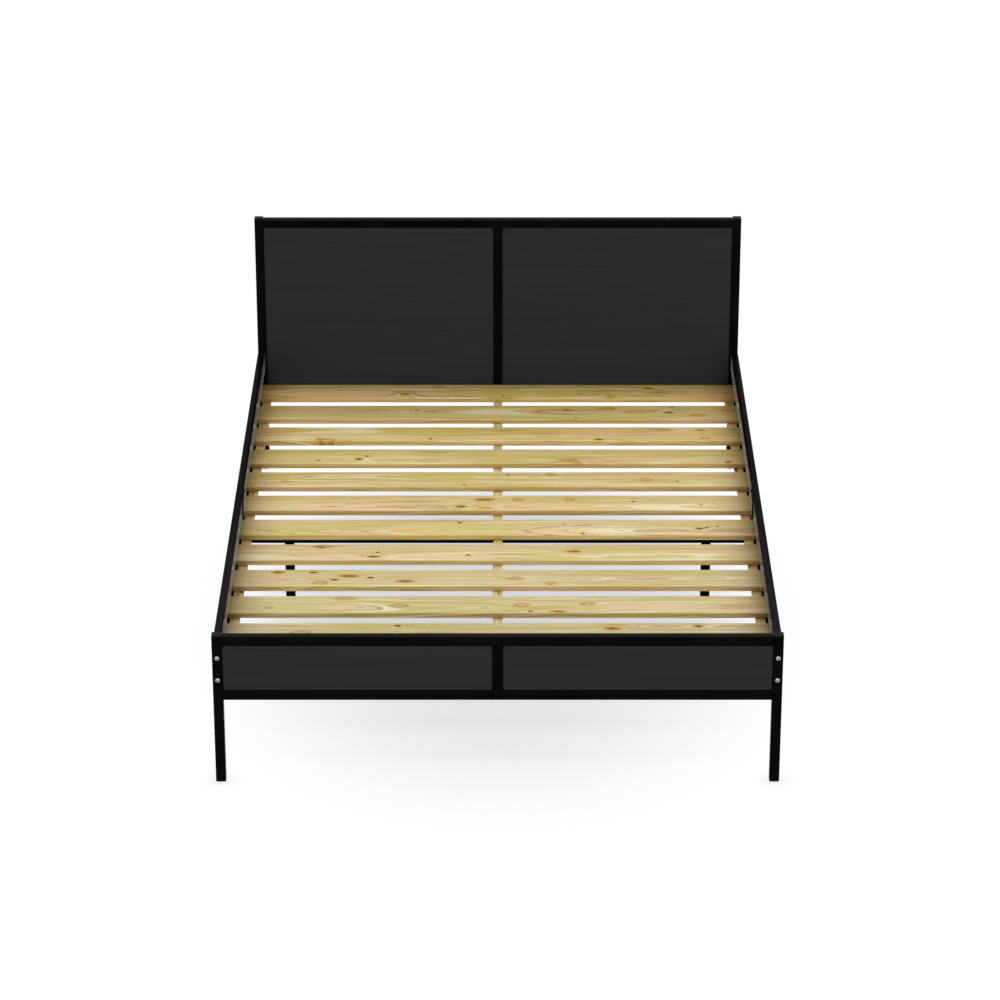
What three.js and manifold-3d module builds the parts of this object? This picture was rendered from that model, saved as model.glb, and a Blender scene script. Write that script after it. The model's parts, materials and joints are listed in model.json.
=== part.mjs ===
// Double bed frame: a headboard and a footboard of square steel tube with dark board panels,
// two side rails folded from sheet steel and bolted to the posts, a cross bar on two legs under
// the middle, and a deck of twelve pine slats on three pine battens.
//
// Millimetres. X runs across the bed, Y from the foot end to the head end, Z up from the floor.
// The origin is on the floor, under the centre of the bed. "Left" is -X, seen from the foot end.
import * as THREE from "three";
import { mergeVertices } from "three/addons/utils/BufferGeometryUtils.js";
import Module from "manifold-3d";

const wasm = await Module();
wasm.setup();

// ---------------------------------------------------------------- driving dimensions

// Whole bed
const BED_WIDTH = 1400; // outer face to outer face of the posts
const BED_LENGTH = 1960; // outer face of the foot posts to outer face of the head posts
const HEADBOARD_HEIGHT = 786; // floor to the top of the head post caps
const FOOTBOARD_HEIGHT = 406; // floor to the top of the foot post caps

// Room left between pieces that are welded, stapled, pressed or bolted together
const FIT_GAP = 0.3;

// Square steel tube of the posts, the boards' rails and the middle legs
const TUBE_SIDE = 25;
const TUBE_WALL = 1.5;
const TUBE_CORNER = 2.5; // outer corner radius

// Board panels, set between the tubes
const PANEL_THICKNESS = 18;
const PANEL_CORNER = 5; // radius of the four corners of the face
const PANEL_EDGE = 2.5; // rounding of the long edges

// Side rails: one sheet folded into a closed bead, a web and a ledge
const RAIL_HEIGHT = 120;
const RAIL_SHEET = 2;
const RAIL_FOLD = 2.5; // outer radius of each fold
const RAIL_DROP = 2.6; // rail top below the underside of the footboard's top rail
const BEAD_WIDTH = 20;
const BEAD_HEIGHT = 54;

// Stiffening plate welded to the inner face of each bead, footward of the cross bar
const STIFFENER_LENGTH = 83;
const STIFFENER_HEIGHT = 50;
const STIFFENER_THICKNESS = 4;
const STIFFENER_CORNER = 3;
const STIFFENER_DROP = 3; // below the top of the rail
const STIFFENER_OFFSET = 63.5; // its centre to the centre of the cross bar

// Plates that close the rail ends, each with two threaded bosses
const PLATE_THICKNESS = 4;
const PLATE_CORNER = 2;
const PLATE_INSET = 0.5; // plate side back from the post's side
const BOSS_DIAMETER = 9.5;
const BOSS_LENGTH = 10;

// Button-head bolts
const BOLT_DIAMETER = 6;
const BOLT_HOLE_PLAY = 0.6; // hole diameter over bolt diameter
const BOLT_HEAD_DIAMETER = 12;
const BOLT_HEAD_HEIGHT = 3.2;
const BOLT_HEAD_RIM = 0.7; // straight edge under the dome
const BOLT_TIP_CHAMFER = 1;
const BOLT_SPACING = 60; // between the two bolts of a corner
const SOCKET_FLATS = 4; // hexagon socket, flat to flat
const SOCKET_DEPTH = 2;

// Pine deck
const SLAT_COUNT = 12;
const SLAT_WIDTH = 101;
const SLAT_THICKNESS = 14;
const SLAT_EDGE = 1.5; // rounded long edges
const SLAT_SIDE_PLAY = 11.5; // slat end to the web of the rail
const DECK_FOOT_PLAY = 38; // first slat's edge to the foot posts
const DECK_HEAD_PLAY = 31; // last slat's edge to the head posts
const BATTEN_WIDTH = 25;
const BATTEN_THICKNESS = 12;
const BATTEN_EDGE = 1;
const BATTEN_INSET = 4; // slat end to the outer edge of the side batten
const BATTEN_OVERHANG = 3; // inner edge of the side batten past the ledge that carries it
const BATTEN_END_PLAY = 2; // batten end to the rail's end plate

// Cross bar under the middle of the deck
const CROSS_BAR_HEIGHT = 50;
const CROSS_BAR_BEARING = 10; // reach of each bar end into its notch in the rail's ledge
const CROSS_BAR_PLAY = 1; // bar to the sides and the bottom of the notch
const MIDDLE_LEG_INSET = 137.5; // leg centre in from the outer face of the bed
const BRACKET_THICKNESS = 3;
const BRACKET_WIDTH = 40;
const BRACKET_FOLD = 4;
const BRACKET_BOLT_PLAY = 1.5; // between the bracket bolt and the batten
const BRACKET_BOLT_STANDOUT = 6; // bolt end above the ledge

// Plastic caps and glides, pushed into the tube ends
const CAP_THICKNESS = 3;
const CAP_CHAMFER = 0.9;
const GLIDE_HEIGHT = 5; // floor to the tube end
const GLIDE_DIAMETER = 16;
const GLIDE_FLANGE = 1.2;
const GLIDE_EDGE = 1.4; // rounding of the running edge
const PLUG_RIBS = 2;
const PLUG_RIB_PITCH = 5;
const PLUG_RIB_DEPTH = 0.9;
const PLUG_NOSE = 2.5; // tapered lead-in

// Fineness of round shapes
const CORNER_STEPS = 3; // facets in a quarter circle of a tube corner, cap or glide
const TURN_STEPS = 16; // facets around a bolt, hole or boss

// ---------------------------------------------------------------- levels and places

const halfWidth = BED_WIDTH / 2;
const halfLength = BED_LENGTH / 2;
const postInset = TUBE_SIDE / 2; // post centre in from the outer faces
const postX = halfWidth - postInset;
const postInnerY = halfLength - TUBE_SIDE;

const railTop = FOOTBOARD_HEIGHT - CAP_THICKNESS - TUBE_SIDE - RAIL_DROP;
const railBottom = railTop - RAIL_HEIGHT;
const ledgeTop = railBottom + RAIL_SHEET;
const battenBottom = ledgeTop + FIT_GAP;
const slatBottom = battenBottom + BATTEN_THICKNESS + FIT_GAP;

const webInnerX = halfWidth - RAIL_SHEET;
const slatEndX = webInnerX - SLAT_SIDE_PLAY;
const battenOuterX = slatEndX - BATTEN_INSET;
const ledgeInnerX = battenOuterX - BATTEN_WIDTH + BATTEN_OVERHANG;
const plateOuterY = postInnerY - FIT_GAP;
const plateInnerY = plateOuterY - PLATE_THICKNESS;
const railEndY = plateInnerY - FIT_GAP;

const boltHeights = {
  upper: (railTop + railBottom + BOLT_SPACING) / 2,
  lower: (railTop + railBottom - BOLT_SPACING) / 2,
};
const boltHoleRadius = (BOLT_DIAMETER + BOLT_HOLE_PLAY) / 2;
const bracketBoltX = battenOuterX + BRACKET_BOLT_PLAY + BOLT_DIAMETER / 2;

const SIDES = { left: -1, right: 1 };

// ---------------------------------------------------------------- finishes

const FINISHES = {
  blackPaint: { color: 0x1a1b1c, roughness: 0.42, metalness: 0.0 },
  darkBoard: { color: 0x2b2b2a, roughness: 0.62, metalness: 0.0 },
  pine: { color: 0xc8a472, roughness: 0.6, metalness: 0.0 },
  blackPlastic: { color: 0x141415, roughness: 0.55, metalness: 0.0 },
  zincSteel: { color: 0xb4b6b8, roughness: 0.32, metalness: 1.0 },
};

// ---------------------------------------------------------------- solids

// A closed solid for cutting and joining: only positions, shared corners, no empty triangles.
function toSolid(geometry) {
  const bare = geometry.clone();
  bare.deleteAttribute("normal");
  bare.deleteAttribute("uv");
  const merged = mergeVertices(bare, 1e-4);
  const corners = merged.index.array;
  const kept = [];
  for (let i = 0; i < corners.length; i += 3) {
    const [a, b, c] = [corners[i], corners[i + 1], corners[i + 2]];
    if (a !== b && b !== c && c !== a) kept.push(a, b, c);
  }
  return new wasm.Manifold(new wasm.Mesh({
    numProp: 3,
    vertProperties: new Float32Array(merged.attributes.position.array),
    triVerts: new Uint32Array(kept),
  }));
}

function toGeometry(solid) {
  const mesh = solid.getMesh();
  const geometry = new THREE.BufferGeometry();
  geometry.setAttribute("position", new THREE.BufferAttribute(mesh.vertProperties, 3));
  geometry.setIndex(new THREE.BufferAttribute(mesh.triVerts, 1));
  geometry.computeVertexNormals();
  return geometry;
}

function cut(geometry, tools) {
  let solid = toSolid(geometry);
  for (const tool of tools) solid = solid.subtract(toSolid(tool));
  return toGeometry(solid);
}

// Adds a rounded rectangle, centred on the origin, to a THREE.Shape or THREE.Path.
function traceRoundedRectangle(path, width, height, radius) {
  const x = width / 2 - radius;
  const y = height / 2 - radius;
  path.absarc(x, y, radius, 0, Math.PI / 2);
  path.absarc(-x, y, radius, Math.PI / 2, Math.PI);
  path.absarc(-x, -y, radius, Math.PI, 1.5 * Math.PI);
  path.absarc(x, -y, radius, 1.5 * Math.PI, 2 * Math.PI);
  path.closePath();
  return path;
}

// Extrudes a shape along Z, centred on the origin.
function extrudeCentred(shape, length) {
  const settings = { depth: length, bevelEnabled: false, curveSegments: CORNER_STEPS / 2 };
  return new THREE.ExtrudeGeometry(shape, settings).translate(0, 0, -length / 2);
}

// A length of rectangular tube along Z, open at both ends.
function tube(width, height, length) {
  const shape = traceRoundedRectangle(new THREE.Shape(), width, height, TUBE_CORNER);
  const inside = [width - 2 * TUBE_WALL, height - 2 * TUBE_WALL];
  const boreCorner = TUBE_CORNER - TUBE_WALL;
  shape.holes.push(traceRoundedRectangle(new THREE.Path(), ...inside, boreCorner));
  return extrudeCentred(shape, length);
}

// A solid bar along Z with its four long edges rounded.
function bar(width, height, length, edge) {
  return extrudeCentred(traceRoundedRectangle(new THREE.Shape(), width, height, edge), length);
}

// A drill along Y or Z through the given point.
function drill(radius, length, [x, y, z], alongZ = false) {
  const tool = new THREE.CylinderGeometry(radius, radius, length, TURN_STEPS);
  if (alongZ) tool.rotateX(Math.PI / 2);
  return tool.translate(x, y, z);
}

// A loft through rounded squares stacked along Z, each given by its level, side and corner radius.
function loftSquares(sections) {
  const positions = [];
  for (const { level, side, corner } of sections) {
    const reach = side / 2 - corner;
    for (let quarter = 0; quarter < 4; quarter += 1) {
      const middle = (quarter + 0.5) * (Math.PI / 2);
      const centreX = Math.sign(Math.cos(middle)) * reach;
      const centreY = Math.sign(Math.sin(middle)) * reach;
      for (let step = 0; step <= CORNER_STEPS; step += 1) {
        const angle = (quarter + step / CORNER_STEPS) * (Math.PI / 2);
        positions.push(centreX + corner * Math.cos(angle), centreY + corner * Math.sin(angle), level);
      }
    }
  }
  const ring = 4 * (CORNER_STEPS + 1);
  const last = (sections.length - 1) * ring;
  const indices = [];
  for (let start = 0; start < last; start += ring) {
    for (let i = 0; i < ring; i += 1) {
      const next = (i + 1) % ring;
      indices.push(start + i, start + next, start + ring + next);
      indices.push(start + i, start + ring + next, start + ring + i);
    }
  }
  for (let i = 1; i < ring - 1; i += 1) {
    indices.push(0, i + 1, i);
    indices.push(last, last + i, last + i + 1);
  }
  const geometry = new THREE.BufferGeometry();
  geometry.setAttribute("position", new THREE.Float32BufferAttribute(positions, 3));
  geometry.setIndex(indices);
  geometry.computeVertexNormals();
  return geometry;
}

function makeMesh(name, geometry, finish) {
  const mesh = new THREE.Mesh(geometry, new THREE.MeshStandardMaterial(finish));
  mesh.name = name;
  return mesh;
}

// ---------------------------------------------------------------- plastic caps and glides

// The ribbed plug that grips the tube, rising from the tube end at level 0.
function plugSections() {
  const bore = TUBE_SIDE - 2 * TUBE_WALL - 2 * FIT_GAP;
  const core = bore - 2 * PLUG_RIB_DEPTH;
  const corner = TUBE_CORNER - TUBE_WALL;
  const sections = [];
  for (let rib = 0; rib < PLUG_RIBS; rib += 1) {
    const foot = (rib + 0.5) * PLUG_RIB_PITCH;
    sections.push({ level: foot, side: core, corner });
    sections.push({ level: foot, side: bore, corner });
    sections.push({ level: foot + PLUG_RIB_PITCH / 2, side: core, corner });
  }
  const nose = (PLUG_RIBS + 0.5) * PLUG_RIB_PITCH + PLUG_NOSE;
  sections.push({ level: nose - PLUG_NOSE, side: core, corner });
  sections.push({ level: nose, side: core - PLUG_NOSE, corner });
  return sections;
}

// Cap: a chamfered square head outside the tube, its plug along +Z.
function capGeometry() {
  const core = TUBE_SIDE - 2 * (TUBE_WALL + FIT_GAP + PLUG_RIB_DEPTH);
  const head = [
    { level: -CAP_THICKNESS, side: TUBE_SIDE - 2 * CAP_CHAMFER, corner: TUBE_CORNER },
    { level: CAP_CHAMFER - CAP_THICKNESS, side: TUBE_SIDE, corner: TUBE_CORNER },
    { level: -FIT_GAP, side: TUBE_SIDE, corner: TUBE_CORNER },
    { level: -FIT_GAP, side: core, corner: TUBE_CORNER - TUBE_WALL },
  ];
  return loftSquares([...head, ...plugSections()]);
}

// Glide: a round foot below a thin flange, its plug along +Z. The floor is at -GLIDE_HEIGHT.
function glideGeometry() {
  const core = TUBE_SIDE - 2 * (TUBE_WALL + FIT_GAP + PLUG_RIB_DEPTH);
  const foot = GLIDE_DIAMETER - 2 * GLIDE_EDGE;
  const flange = TUBE_SIDE - 2 * FIT_GAP;
  const flangeBottom = -FIT_GAP - GLIDE_FLANGE;
  const nearlyRound = 0.48; // corner radius as a share of the side
  const head = [
    { level: -GLIDE_HEIGHT, side: foot, corner: foot * nearlyRound },
    { level: GLIDE_EDGE - GLIDE_HEIGHT, side: GLIDE_DIAMETER, corner: GLIDE_DIAMETER * nearlyRound },
    { level: flangeBottom, side: GLIDE_DIAMETER, corner: GLIDE_DIAMETER * nearlyRound },
    { level: flangeBottom, side: flange, corner: TUBE_CORNER },
    { level: -FIT_GAP, side: flange, corner: TUBE_CORNER },
    { level: -FIT_GAP, side: core, corner: TUBE_CORNER - TUBE_WALL },
  ];
  return loftSquares([...head, ...plugSections()]);
}

function makeCap(name, x, tubeTop) {
  const cap = makeMesh(name, capGeometry(), FINISHES.blackPlastic);
  cap.rotation.x = Math.PI;
  cap.position.set(x, 0, tubeTop);
  return cap;
}

function makeGlide(name, x) {
  const glide = makeMesh(name, glideGeometry(), FINISHES.blackPlastic);
  glide.position.set(x, 0, GLIDE_HEIGHT);
  return glide;
}

// ---------------------------------------------------------------- headboard and footboard

// A welded board of two posts, two rails, a mullion and two panels, in its own frame: X across,
// Y through the thickness of the tube, Z up from the floor.
function makeBoard(prefix, height) {
  const board = new THREE.Group();
  const tubeTop = height - CAP_THICKNESS;
  const topRailZ = tubeTop - TUBE_SIDE / 2;
  const bottomRailZ = railBottom - TUBE_SIDE / 2;
  const openingBottom = railBottom + FIT_GAP;
  const openingTop = tubeTop - TUBE_SIDE - FIT_GAP;
  const openingHeight = openingTop - openingBottom;
  const openingZ = (openingTop + openingBottom) / 2;
  const railLength = BED_WIDTH - 2 * TUBE_SIDE - 2 * FIT_GAP;

  const postLength = tubeTop - GLIDE_HEIGHT;
  const postZ = (tubeTop + GLIDE_HEIGHT) / 2;
  const boltHoles = Object.values(boltHeights).map(
    (z) => drill(boltHoleRadius, 2 * TUBE_SIDE, [0, 0, z - postZ]),
  );
  for (const [side, sign] of Object.entries(SIDES)) {
    const post = makeMesh(
      `${prefix}_post_${side}`,
      cut(tube(TUBE_SIDE, TUBE_SIDE, postLength), boltHoles),
      FINISHES.blackPaint,
    );
    post.position.set(sign * postX, 0, postZ);
    board.add(post);
    board.add(makeCap(`${prefix}_post_cap_${side}`, sign * postX, tubeTop));
    board.add(makeGlide(`${prefix}_glide_${side}`, sign * postX));
  }

  const rails = { top_rail: topRailZ, bottom_rail: bottomRailZ };
  for (const [name, z] of Object.entries(rails)) {
    const geometry = tube(TUBE_SIDE, TUBE_SIDE, railLength);
    const rail = makeMesh(`${prefix}_${name}`, geometry, FINISHES.blackPaint);
    rail.rotation.y = Math.PI / 2;
    rail.position.z = z;
    board.add(rail);
  }

  const mullionTube = tube(TUBE_SIDE, TUBE_SIDE, openingHeight);
  const mullion = makeMesh(`${prefix}_mullion`, mullionTube, FINISHES.blackPaint);
  mullion.position.z = openingZ;
  board.add(mullion);

  const panelWidth = (BED_WIDTH - 3 * TUBE_SIDE) / 2 - 2 * FIT_GAP;
  for (const [side, sign] of Object.entries(SIDES)) {
    const geometry = panelGeometry(panelWidth, openingHeight);
    const panel = makeMesh(`${prefix}_panel_${side}`, geometry, FINISHES.darkBoard);
    panel.position.set(sign * (panelWidth / 2 + FIT_GAP + TUBE_SIDE / 2), 0, openingZ);
    board.add(panel);
  }
  return board;
}

// A flat board in the XZ plane with rounded corners and edges.
function panelGeometry(width, height) {
  const face = traceRoundedRectangle(new THREE.Shape(), width, height, PANEL_CORNER);
  const core = PANEL_THICKNESS - 2 * PANEL_EDGE;
  const geometry = new THREE.ExtrudeGeometry(face, {
    depth: core,
    bevelSize: PANEL_EDGE,
    bevelOffset: -PANEL_EDGE,
    bevelThickness: PANEL_EDGE,
    bevelSegments: 3,
    curveSegments: CORNER_STEPS / 2,
  });
  return geometry.translate(0, 0, -core / 2).rotateX(Math.PI / 2);
}

// ---------------------------------------------------------------- side rails

// Section of the left rail: X from its outer face towards the bed, Y up from its lower edge.
// The sheet runs in along the ledge, up the web, and round the closed bead at the top.
function railSection() {
  const ledge = halfWidth - ledgeInnerX;
  const beadBottom = RAIL_HEIGHT - BEAD_HEIGHT;
  const quarter = Math.PI / 2;
  const shape = new THREE.Shape();
  shape.moveTo(ledge, 0);
  shape.lineTo(ledge, RAIL_SHEET);
  shape.lineTo(RAIL_SHEET, RAIL_SHEET);
  shape.lineTo(RAIL_SHEET, beadBottom);
  shape.absarc(BEAD_WIDTH - RAIL_FOLD, beadBottom + RAIL_FOLD, RAIL_FOLD, -quarter, 0);
  shape.absarc(BEAD_WIDTH - RAIL_FOLD, RAIL_HEIGHT - RAIL_FOLD, RAIL_FOLD, 0, quarter);
  shape.absarc(RAIL_FOLD, RAIL_HEIGHT - RAIL_FOLD, RAIL_FOLD, quarter, 2 * quarter);
  shape.absarc(RAIL_FOLD, RAIL_FOLD, RAIL_FOLD, 2 * quarter, 3 * quarter);
  shape.closePath();

  const hollow = new THREE.Path();
  const right = BEAD_WIDTH - RAIL_SHEET;
  const bottom = beadBottom + RAIL_SHEET;
  const top = RAIL_HEIGHT - RAIL_SHEET;
  hollow.moveTo(RAIL_SHEET, bottom);
  hollow.lineTo(right, bottom);
  hollow.lineTo(right, top);
  hollow.lineTo(RAIL_SHEET, top);
  hollow.closePath();
  shape.holes.push(hollow);
  return shape;
}

// The stiffening plate, let into half the sheet of the bead. Footward is -1 or 1, along Y.
function stiffenerGeometry(footward) {
  const weld = RAIL_SHEET / 2;
  const thickness = STIFFENER_THICKNESS + weld;
  const plate = bar(STIFFENER_HEIGHT, STIFFENER_LENGTH, thickness, STIFFENER_CORNER);
  const centreX = BEAD_WIDTH - weld + thickness / 2;
  const centreZ = RAIL_HEIGHT - STIFFENER_DROP - STIFFENER_HEIGHT / 2;
  return plate.rotateY(Math.PI / 2).translate(centreX, footward * STIFFENER_OFFSET, centreZ);
}

// The rail along Y, outer face at X = 0, lower edge at Z = 0, with its stiffening plate, room for
// the bosses of its end plates, and a notch and a bolt hole in the ledge for the cross bar.
function railGeometry(footward) {
  const profile = extrudeCentred(railSection(), 2 * railEndY).rotateX(Math.PI / 2);
  const geometry = toGeometry(toSolid(profile).add(toSolid(stiffenerGeometry(footward))));
  const bossRoom = BOSS_DIAMETER / 2 + FIT_GAP;
  const tools = [];
  for (const end of [-1, 1]) {
    for (const z of Object.values(boltHeights)) {
      const place = [postInset, end * plateInnerY, z - railBottom];
      tools.push(drill(bossRoom, 2 * (BOSS_LENGTH + FIT_GAP), place));
    }
  }
  const boltPlace = [halfWidth - bracketBoltX, 0, 0];
  tools.push(drill(boltHoleRadius, 4 * RAIL_SHEET, boltPlace, true));
  const notchDepth = CROSS_BAR_BEARING + CROSS_BAR_PLAY;
  const notchWidth = TUBE_SIDE + 2 * CROSS_BAR_PLAY;
  const notch = new THREE.BoxGeometry(2 * notchDepth, notchWidth, 4 * RAIL_SHEET);
  tools.push(notch.translate(halfWidth - ledgeInnerX, 0, 0));
  return cut(geometry, tools);
}

function makeSideRails() {
  const rails = new THREE.Group();
  for (const [side, sign] of Object.entries(SIDES)) {
    const rail = makeMesh(`side_rail_${side}`, railGeometry(sign), FINISHES.blackPaint);
    rail.position.set(sign * halfWidth, 0, railBottom);
    rail.rotation.z = side === "left" ? 0 : Math.PI;
    rails.add(rail);
  }
  return rails;
}

// ---------------------------------------------------------------- bolts and corner joints

// A button-head bolt along Y: the seat of its head at -FIT_GAP, its shank towards +Y.
function boltGeometry(shankLength) {
  const headRadius = BOLT_HEAD_DIAMETER / 2;
  const shankRadius = BOLT_DIAMETER / 2;
  const rimY = -FIT_GAP - BOLT_HEAD_RIM;
  const domeHeight = BOLT_HEAD_HEIGHT - BOLT_HEAD_RIM;
  const domeRadius = (headRadius ** 2 + domeHeight ** 2) / (2 * domeHeight);
  const domeAngle = Math.asin(headRadius / domeRadius);
  const domeSteps = 4;
  const profile = [];
  for (let step = 0; step <= domeSteps; step += 1) {
    const angle = (domeAngle * step) / domeSteps;
    const height = domeHeight - domeRadius * (1 - Math.cos(angle));
    profile.push(new THREE.Vector2(domeRadius * Math.sin(angle), rimY - height));
  }
  profile[0].x = 0;
  profile.push(new THREE.Vector2(headRadius, -FIT_GAP));
  profile.push(new THREE.Vector2(shankRadius, -FIT_GAP));
  profile.push(new THREE.Vector2(shankRadius, shankLength - BOLT_TIP_CHAMFER));
  profile.push(new THREE.Vector2(shankRadius - BOLT_TIP_CHAMFER, shankLength));
  profile.push(new THREE.Vector2(0, shankLength));
  const blank = new THREE.LatheGeometry(profile, TURN_STEPS);

  const socketRadius = SOCKET_FLATS / Math.sqrt(3);
  const socket = new THREE.CylinderGeometry(socketRadius, socketRadius, 2 * SOCKET_DEPTH, 6);
  socket.translate(0, -FIT_GAP - BOLT_HEAD_HEIGHT, 0);
  return cut(blank, [socket]);
}

// End plate in the XZ plane at the bolt heights, its bosses towards +Y, Y = 0 at the post's face.
function plateGeometry() {
  const width = TUBE_SIDE - 2 * PLATE_INSET;
  const centreZ = (railTop + railBottom) / 2;
  const plate = bar(width, RAIL_HEIGHT, PLATE_THICKNESS, PLATE_CORNER);
  plate.rotateX(Math.PI / 2).translate(0, FIT_GAP + PLATE_THICKNESS / 2, centreZ);
  let solid = toSolid(plate);
  const bossLength = PLATE_THICKNESS + BOSS_LENGTH;
  for (const z of Object.values(boltHeights)) {
    const boss = drill(BOSS_DIAMETER / 2, bossLength, [0, FIT_GAP + bossLength / 2, z]);
    solid = solid.add(toSolid(boss));
  }
  for (const z of Object.values(boltHeights)) {
    solid = solid.subtract(toSolid(drill(boltHoleRadius, 4 * bossLength, [0, 0, z])));
  }
  return toGeometry(solid);
}

// The bolted corner: the rail's end plate and the two bolts that pull it to the post. Its frame
// stands at the post's inner face, with +Y along the rail.
function makeCorner(name) {
  const corner = new THREE.Group();
  corner.add(makeMesh(`rail_end_plate_${name}`, plateGeometry(), FINISHES.blackPaint));
  const shankLength = TUBE_SIDE + PLATE_THICKNESS + BOSS_LENGTH - BOLT_TIP_CHAMFER;
  for (const [level, z] of Object.entries(boltHeights)) {
    const geometry = boltGeometry(shankLength);
    const bolt = makeMesh(`corner_bolt_${name}_${level}`, geometry, FINISHES.zincSteel);
    bolt.position.set(0, -TUBE_SIDE, z);
    corner.add(bolt);
  }
  return corner;
}

function makeCorners() {
  const corners = new THREE.Group();
  for (const [side, sign] of Object.entries(SIDES)) {
    const footCorner = makeCorner(`foot_${side}`);
    footCorner.position.set(sign * postX, -postInnerY, 0);
    corners.add(footCorner);
    const headCorner = makeCorner(`head_${side}`);
    headCorner.position.set(sign * postX, postInnerY, 0);
    headCorner.rotation.z = Math.PI;
    corners.add(headCorner);
  }
  return corners;
}

// ---------------------------------------------------------------- cross bar and middle legs

// Angle bracket of the right end: it closes the bar end at X = 0 and its upper flange reaches out
// along +X under the rail's ledge, top face at Z = 0.
function bracketGeometry(reach, boltReach, drop) {
  const quarter = Math.PI / 2;
  const inner = BRACKET_FOLD - BRACKET_THICKNESS;
  const shape = new THREE.Shape();
  shape.moveTo(reach, -BRACKET_THICKNESS);
  shape.lineTo(reach, 0);
  shape.absarc(BRACKET_FOLD, -BRACKET_FOLD, BRACKET_FOLD, quarter, 2 * quarter);
  shape.lineTo(0, -drop);
  shape.lineTo(BRACKET_THICKNESS, -drop);
  shape.absarc(BRACKET_FOLD, -BRACKET_FOLD, inner, 2 * quarter, quarter, true);
  shape.closePath();
  const angle = extrudeCentred(shape, BRACKET_WIDTH).rotateX(Math.PI / 2);
  return cut(angle, [drill(boltHoleRadius, 4 * BRACKET_THICKNESS, [boltReach, 0, 0], true)]);
}

function makeMiddleSupport() {
  const support = new THREE.Group();
  const barEndX = ledgeInnerX + CROSS_BAR_BEARING;
  const barBottom = ledgeTop - CROSS_BAR_HEIGHT;
  const barTube = tube(CROSS_BAR_HEIGHT, TUBE_SIDE, 2 * barEndX);
  const crossBar = makeMesh("cross_bar", barTube, FINISHES.blackPaint);
  crossBar.rotation.y = Math.PI / 2;
  crossBar.position.z = barBottom + CROSS_BAR_HEIGHT / 2;
  support.add(crossBar);

  const bracketX = barEndX + FIT_GAP;
  const bracketTop = railBottom - FIT_GAP;
  const bracketUnderside = bracketTop - BRACKET_THICKNESS;
  const boltLength = BRACKET_THICKNESS + FIT_GAP + RAIL_SHEET + BRACKET_BOLT_STANDOUT;
  const legTop = barBottom - FIT_GAP;
  const legX = halfWidth - MIDDLE_LEG_INSET;
  for (const [side, sign] of Object.entries(SIDES)) {
    const bracketSizes = [webInnerX - bracketX, bracketBoltX - bracketX, bracketTop - barBottom];
    const bracket = makeMesh(
      `cross_bar_bracket_${side}`,
      bracketGeometry(...bracketSizes),
      FINISHES.blackPaint,
    );
    bracket.position.set(sign * bracketX, 0, bracketTop);
    bracket.rotation.z = side === "left" ? Math.PI : 0;
    support.add(bracket);

    const bolt = makeMesh(`bracket_bolt_${side}`, boltGeometry(boltLength), FINISHES.zincSteel);
    bolt.rotation.x = Math.PI / 2;
    bolt.position.set(sign * bracketBoltX, 0, bracketUnderside);
    support.add(bolt);

    const legTube = tube(TUBE_SIDE, TUBE_SIDE, legTop - GLIDE_HEIGHT);
    const leg = makeMesh(`middle_leg_${side}`, legTube, FINISHES.blackPaint);
    leg.position.set(sign * legX, 0, (legTop + GLIDE_HEIGHT) / 2);
    support.add(leg);
    support.add(makeGlide(`middle_leg_glide_${side}`, sign * legX));
  }
  return support;
}

// ---------------------------------------------------------------- pine deck

function makeDeck() {
  const deck = new THREE.Group();
  const firstSlatY = DECK_FOOT_PLAY + SLAT_WIDTH / 2 - postInnerY;
  const lastSlatY = postInnerY - DECK_HEAD_PLAY - SLAT_WIDTH / 2;
  const slatPitch = (lastSlatY - firstSlatY) / (SLAT_COUNT - 1);
  for (let i = 0; i < SLAT_COUNT; i += 1) {
    const name = `slat_${String(i + 1).padStart(2, "0")}`;
    const geometry = bar(SLAT_THICKNESS, SLAT_WIDTH, 2 * slatEndX, SLAT_EDGE);
    const slat = makeMesh(name, geometry, FINISHES.pine);
    slat.rotation.y = Math.PI / 2;
    slat.position.set(0, firstSlatY + i * slatPitch, slatBottom + SLAT_THICKNESS / 2);
    deck.add(slat);
  }

  const battenLength = 2 * (plateInnerY - BATTEN_END_PLAY);
  const sideX = battenOuterX - BATTEN_WIDTH / 2;
  const battens = { left: -sideX, centre: 0, right: sideX };
  for (const [place, x] of Object.entries(battens)) {
    const geometry = bar(BATTEN_WIDTH, BATTEN_THICKNESS, battenLength, BATTEN_EDGE);
    const batten = makeMesh(`batten_${place}`, geometry, FINISHES.pine);
    batten.rotation.x = Math.PI / 2;
    batten.position.set(x, 0, battenBottom + BATTEN_THICKNESS / 2);
    deck.add(batten);
  }
  return deck;
}

// ---------------------------------------------------------------- the whole bed

const bedFrame = new THREE.Group();

const footboard = makeBoard("footboard", FOOTBOARD_HEIGHT);
footboard.position.y = postInset - halfLength;
bedFrame.add(footboard);

const headboard = makeBoard("headboard", HEADBOARD_HEIGHT);
headboard.position.y = halfLength - postInset;
bedFrame.add(headboard);

bedFrame.add(makeSideRails());
bedFrame.add(makeCorners());
bedFrame.add(makeMiddleSupport());
bedFrame.add(makeDeck());

export default bedFrame;
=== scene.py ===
# %% [markdown]
# # A metal bed frame with a pine deck
#
# The bed is a bench of plain stock: square steel tube, folded sheet rails, dark boards and
# knotty pine slats. Every rigid piece already has its true shape in the frame, so this lesson is
# about finishes: powder coat, stained board, plastic, zinc and, above all, wood that is drawn
# by a rule instead of a picture.
#
# The first step loads the pieces and keeps the size of the whole bed, to compare with at the end.

# %% Load the bed
import json
import math
import random

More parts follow.
